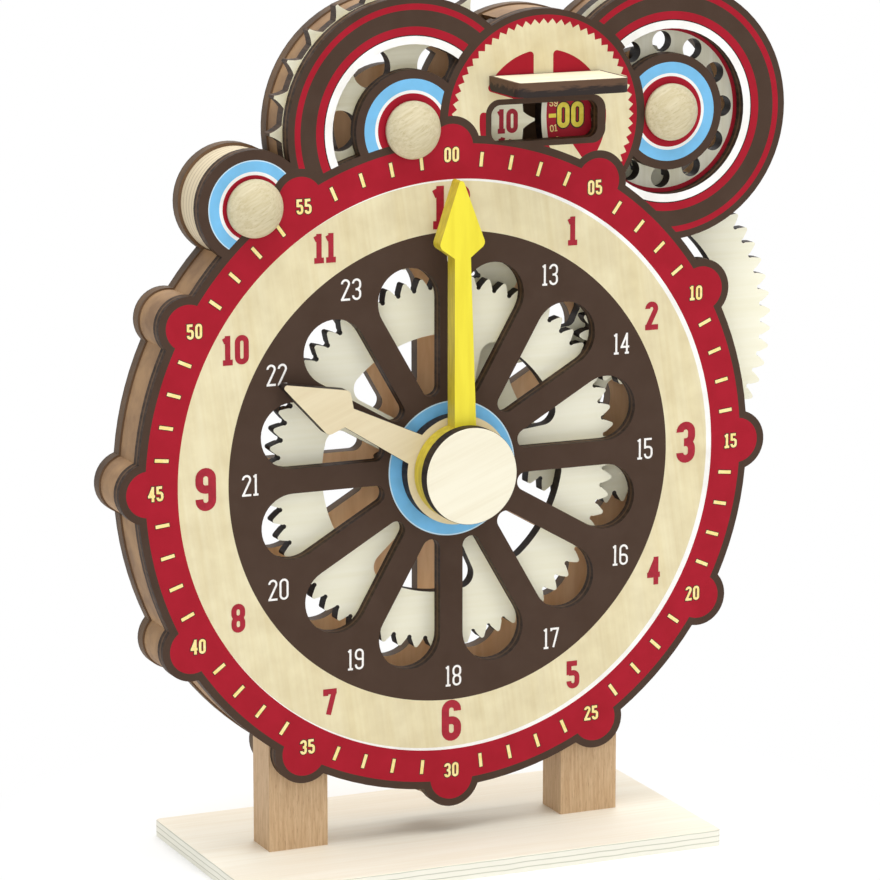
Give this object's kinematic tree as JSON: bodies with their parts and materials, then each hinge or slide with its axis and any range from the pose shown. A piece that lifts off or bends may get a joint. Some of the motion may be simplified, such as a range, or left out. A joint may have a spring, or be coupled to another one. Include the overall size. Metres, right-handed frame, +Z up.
{
  "type": "teaching clock",
  "caption": "Wooden teaching clock on a base: pierced lobed dial with hour and minute hands, visible wheel train, and numbered discs turning behind a flap-covered display window.",
  "frame": {"origin": "centre of the base board's underside", "axes": "+X to the viewer's right, +Y from the dial to the back, +Z up; the dial faces -Y"},
  "size_m": [0.255, 0.094, 0.3075],
  "materials": {
    "printed_ply": "satin print",
    "stained_ply": "satin",
    "pale_ply": "satin",
    "red_print_ply": "satin print",
    "yellow_ply": "satin paint",
    "beech": "satin",
    "steel": "satin",
    "brass": "satin"
  },
  "bodies": {
    "frame": {"base_plate": "pale_ply", "left_post": "beech", "right_post": "beech", "post_screws": "steel", "front_plate": "printed_ply", "back_plate": "stained_ply", "left_rim": "stained_ply", "bottom_rim": "stained_ply", "right_rim": "stained_ply", "star_rim": "stained_ply", "centre_rim": "stained_ply", "disc_rim": "stained_ply", "ear_spacer": "pale_ply", "washers": "beech", "idler_axle": "beech", "flap_lugs": "beech"},
    "minute_works": {"minute_arbor": "steel", "arbor_spacer": "beech", "minute_pinion": "pale_ply", "minute_hand": "yellow_ply", "hub_cap": "pale_ply", "arbor_collar": "beech"},
    "hour_works": {"hour_sleeve": "brass", "hour_wheel": "pale_ply", "hour_hand": "pale_ply"},
    "idler": {"idler_wheel": "pale_ply", "idler_pinion": "pale_ply", "idler_spacer": "beech"},
    "minute_display": {"minute_disc": "red_print_ply", "step_finger": "beech", "disc_pinion": "pale_ply", "disc_spacer": "beech", "disc_axle": "beech", "disc_knob": "beech", "disc_collar": "beech"},
    "hour_display": {"hour_disc": "pale_ply", "star_spacer": "beech", "star_axle": "beech", "star_knob": "beech", "star_collar": "beech"},
    "ear_button": {"ear_axle": "beech", "ear_knob": "beech", "ear_collar": "beech"},
    "flap": {"display_flap": "pale_ply", "flap_hinge_pin": "steel"}
  },
  "joints": [
    {"name": "minute_hand_turn", "type": "hinge", "parent": "frame", "child": "minute_works", "pos_m": [0, 0, 0.139], "axis": [0, 1, 0], "continuous": true},
    {"name": "hour_hand_turn", "type": "hinge", "parent": "frame", "child": "hour_works", "pos_m": [0, 0, 0.139], "axis": [0, 1, 0], "continuous": true},
    {"name": "idler_turn", "type": "hinge", "parent": "frame", "child": "idler", "pos_m": [0.06997, 0, 0.1794], "axis": [0, 1, 0], "continuous": true},
    {"name": "minute_disc_turn", "type": "hinge", "parent": "frame", "child": "minute_display", "pos_m": [0.08359, 0, 0.25904], "axis": [0, 1, 0], "continuous": true},
    {"name": "hour_disc_turn", "type": "hinge", "parent": "frame", "child": "hour_display", "pos_m": [-0.01501, 0, 0.25804], "axis": [0, 1, 0], "continuous": true},
    {"name": "ear_knob_turn", "type": "hinge", "parent": "frame", "child": "ear_button", "pos_m": [-0.07313, 0, 0.23452], "axis": [0, 1, 0], "continuous": true},
    {"name": "flap_hinge", "type": "hinge", "parent": "frame", "child": "flap", "pos_m": [0.03529, -0.0153, 0.27249], "axis": [1, 0, 0], "range_deg": [0, 90]}
  ],
  "couplings": [
    {"joint": "hour_hand_turn", "follows": "minute_hand_turn", "ratio": 0.083333},
    {"joint": "idler_turn", "follows": "minute_hand_turn", "ratio": -0.33333},
    {"joint": "minute_disc_turn", "follows": "minute_hand_turn", "ratio": 1},
    {"joint": "hour_disc_turn", "follows": "minute_hand_turn", "ratio": -0.041667}
  ]
}
